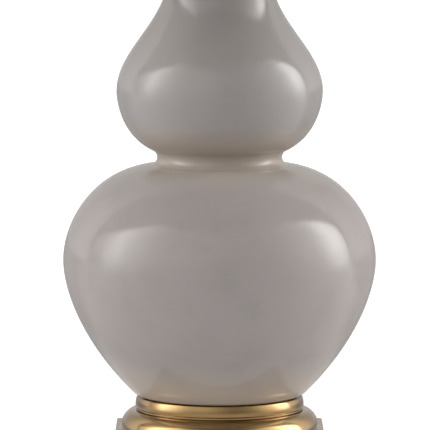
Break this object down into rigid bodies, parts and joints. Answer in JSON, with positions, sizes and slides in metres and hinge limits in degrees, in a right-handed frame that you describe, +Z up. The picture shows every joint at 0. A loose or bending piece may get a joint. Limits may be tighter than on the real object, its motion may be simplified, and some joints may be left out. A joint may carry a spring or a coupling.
{
  "type": "table lamp",
  "caption": "Table lamp: glazed double gourd body on a square antique brass plinth with a turned moulding and collar, socket, bulb, harp, drum shade and finial.",
  "frame": {"origin": "on the table top, under the lamp's axis, level with the undersides of the felt feet", "axes": "+Z up along the lamp's axis, -Y towards the front (the switch), +Y towards the cord inlet"},
  "size_m": [0.3811, 0.3812, 0.7146],
  "materials": {
    "felt": "dense black felt",
    "antique_brass": "antiqued, finely brushed, lacquered",
    "satin_brass": "satin",
    "glaze": "glossy taupe grey glaze",
    "black_rubber": "matt",
    "plated_steel": "zinc plated",
    "cast_iron": "as cast",
    "liner_card": "plain",
    "phenolic": "moulded, satin",
    "bulb_aluminium": "rolled",
    "bulb_glass": "frosted",
    "shade_linen": "off-white linen on a stiff backing",
    "trim_linen": "self trim"
  },
  "bodies": {
    "stand": {"felt_feet": "felt", "plinth": "antique_brass", "cord_bushing": "black_rubber", "bottom_cover": "plated_steel", "cover_screws": "plated_steel", "ballast_plate": "cast_iron", "rod_washer": "plated_steel", "rod_nut": "plated_steel", "threaded_rod": "plated_steel", "base_moulding": "antique_brass", "seat_collar": "antique_brass", "foot_gasket": "black_rubber", "gourd_body": "glaze", "mouth_gasket": "black_rubber", "neck_cap": "antique_brass", "check_ring": "antique_brass", "neck_tube": "antique_brass", "harp_saddle": "satin_brass", "socket_cap": "antique_brass", "socket_shell": "antique_brass", "shell_liner": "liner_card", "socket_core": "phenolic", "screw_shell": "plated_steel", "centre_contact": "satin_brass"},
    "switch": {"switch_stem": "satin_brass", "switch_knob": "phenolic"},
    "bulb": {"bulb_cap": "bulb_aluminium", "bulb_glass": "bulb_glass"},
    "harp": {"harp_wire": "satin_brass", "harp_post": "satin_brass"},
    "ferrule_left": {"ferrule_left": "antique_brass"},
    "ferrule_right": {"ferrule_right": "antique_brass"},
    "shade": {"shade_fitter": "satin_brass", "shade_bottom_ring": "satin_brass", "shade_cover": "shade_linen", "shade_top_trim": "trim_linen", "shade_bottom_trim": "trim_linen"},
    "finial": {"finial": "antique_brass"}
  },
  "joints": [
    {"name": "switch_turn", "type": "hinge", "parent": "stand", "child": "switch", "pos_m": [0, -0.0143, 0.4776], "axis": [0, -1, 0], "continuous": true},
    {"name": "bulb_turn", "type": "hinge", "parent": "stand", "child": "bulb", "pos_m": [0, 0, 0.4892], "axis": [0, 0, 1], "continuous": true},
    {"name": "harp_lift", "type": "slide", "parent": "stand", "child": "harp", "axis": [0, 0, 1], "range_m": [0, 0.02]},
    {"name": "ferrule_left_slide", "type": "slide", "parent": "harp", "child": "ferrule_left", "axis": [0, 0, 1], "range_m": [0, 0.014]},
    {"name": "ferrule_right_slide", "type": "slide", "parent": "harp", "child": "ferrule_right", "axis": [0, 0, 1], "range_m": [0, 0.014]},
    {"name": "shade_turn", "type": "hinge", "parent": "harp", "child": "shade", "pos_m": [0, 0, 0.68], "axis": [0, 0, 1], "continuous": true},
    {"name": "finial_turn", "type": "hinge", "parent": "harp", "child": "finial", "pos_m": [0, 0, 0.6816], "axis": [0, 0, 1], "continuous": true}
  ]
}
